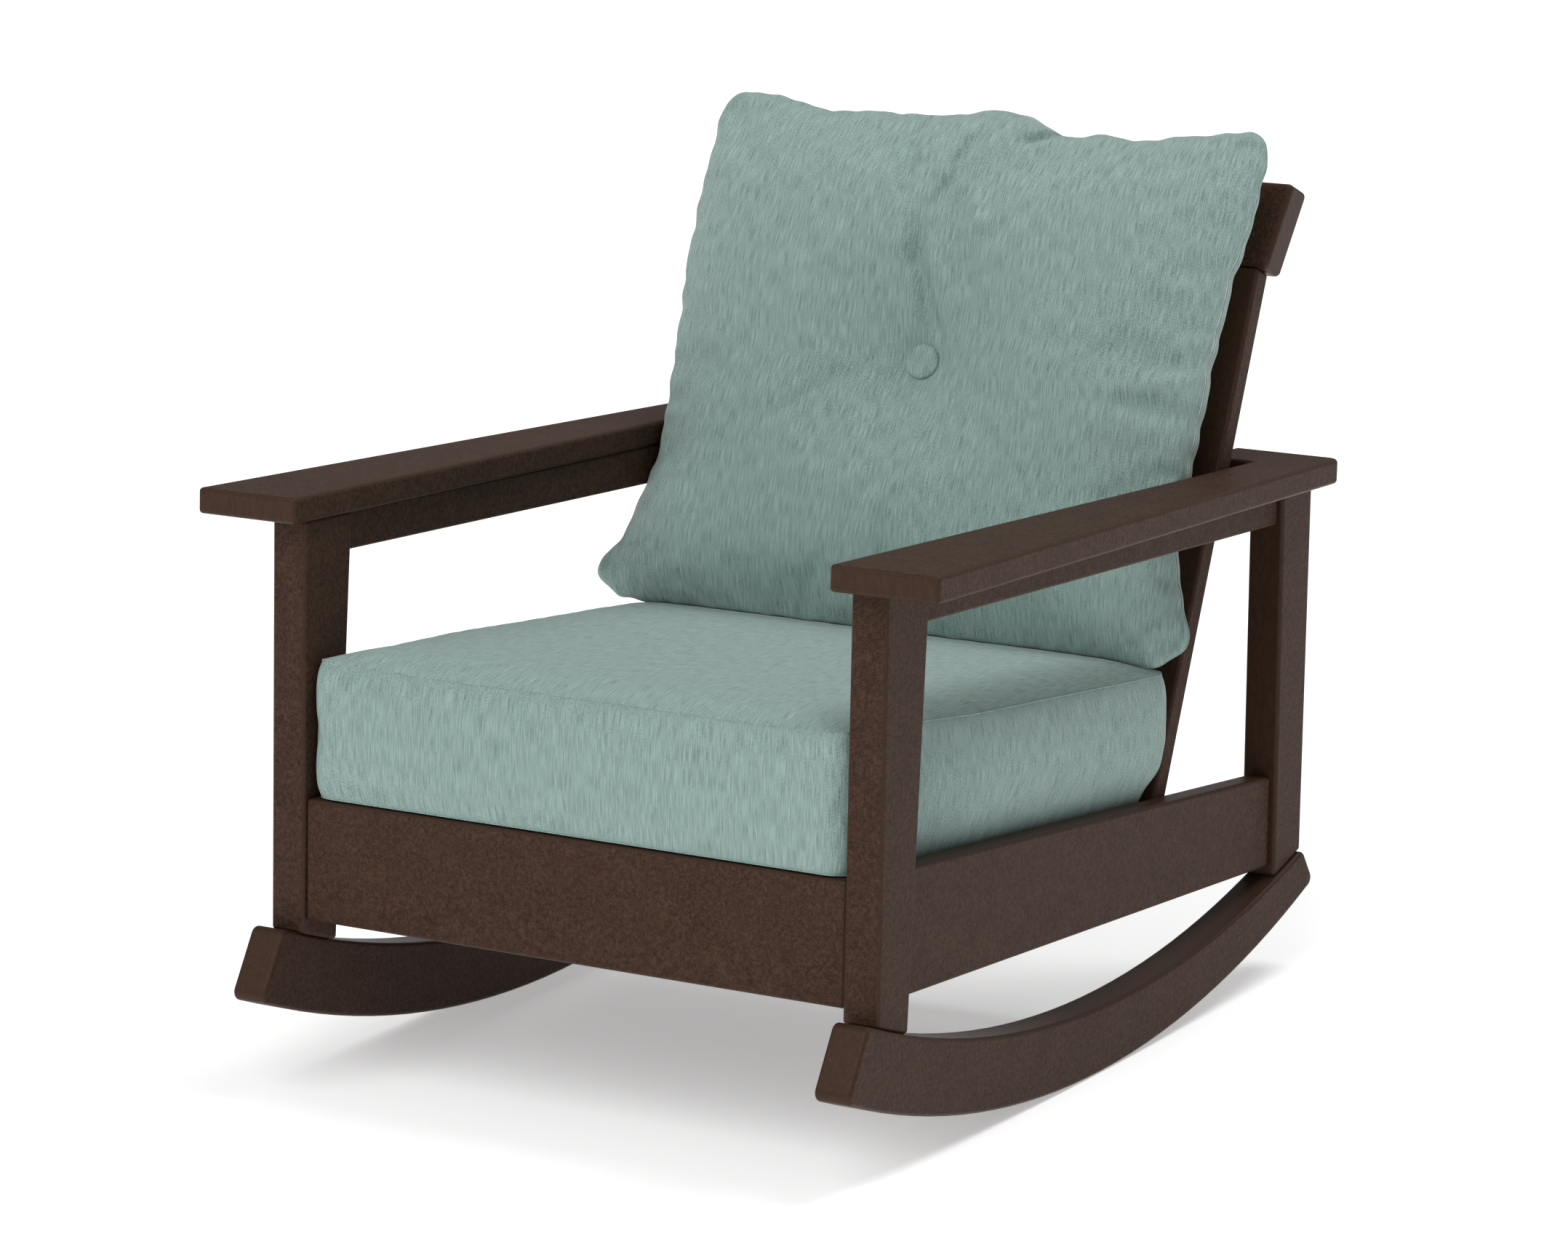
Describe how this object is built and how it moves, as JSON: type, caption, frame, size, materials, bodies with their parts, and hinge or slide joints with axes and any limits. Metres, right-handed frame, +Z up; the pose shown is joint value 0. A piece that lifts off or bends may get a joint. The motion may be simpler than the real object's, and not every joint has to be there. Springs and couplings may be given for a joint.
{
  "type": "rocking chair",
  "caption": "Low, deep outdoor rocking chair on curved runners, with wide flat arms, a slatted seat and leaning back, a boxed seat cushion and a buttoned back cushion.",
  "frame": {"origin": "on the floor under the middle of the chair's length and width, as it rests on its runners", "axes": "+Z up, -Y the way the sitter faces, +X the sitter's left"},
  "size_m": [0.8034, 0.9394, 0.8822],
  "materials": {
    "recycled_lumber": "matte",
    "steel_screws": "satin",
    "cushion_cloth": "matte",
    "cushion_filling": "matte",
    "zip_tape": "matte",
    "tufting_cord": "matte"
  },
  "bodies": {
    "frame": {"arm_left": "recycled_lumber", "arm_rail_left": "recycled_lumber", "arm_rail_right": "recycled_lumber", "arm_right": "recycled_lumber", "arm_screws": "steel_screws", "back_slat_1": "recycled_lumber", "back_slat_2": "recycled_lumber", "back_slat_3": "recycled_lumber", "back_slat_4": "recycled_lumber", "back_slat_5": "recycled_lumber", "back_slat_6": "recycled_lumber", "crest_dowels": "recycled_lumber", "crest_rail": "recycled_lumber", "front_cleat": "recycled_lumber", "front_post_left": "recycled_lumber", "front_post_right": "recycled_lumber", "front_rail": "recycled_lumber", "rail_dowels": "recycled_lumber", "rear_post_left": "recycled_lumber", "rear_post_right": "recycled_lumber", "rear_rail": "recycled_lumber", "rear_rail_screws": "steel_screws", "runner_left": "recycled_lumber", "runner_right": "recycled_lumber", "runner_screws": "steel_screws", "seat_cleat_left": "recycled_lumber", "seat_cleat_right": "recycled_lumber", "seat_rail_left": "recycled_lumber", "seat_rail_right": "recycled_lumber", "seat_slat_1": "recycled_lumber", "seat_slat_2": "recycled_lumber", "seat_slat_3": "recycled_lumber", "seat_slat_4": "recycled_lumber", "seat_slat_5": "recycled_lumber", "seat_slat_6": "recycled_lumber", "seat_slat_7": "recycled_lumber", "seat_slat_8": "recycled_lumber", "slat_screws": "steel_screws", "upright_left": "recycled_lumber", "upright_right": "recycled_lumber", "upright_screws": "steel_screws"},
    "seat_cushion": {"seat_cover": "cushion_cloth", "seat_foam": "cushion_filling", "seat_zip": "zip_tape"},
    "back_cushion": {"back_cover": "cushion_cloth", "back_fill": "cushion_filling", "button_front": "cushion_cloth", "button_rear": "cushion_cloth", "tuft_cord": "tufting_cord", "back_zip": "zip_tape"}
  },
  "joints": [
    {"name": "seat_cushion_lift", "type": "slide", "parent": "frame", "child": "seat_cushion", "axis": [0, 0, 1], "range_m": [0, 0.3]},
    {"name": "back_cushion_lift", "type": "slide", "parent": "seat_cushion", "child": "back_cushion", "axis": [0, 0.3909, 0.9204], "range_m": [0, 0.3]}
  ]
}
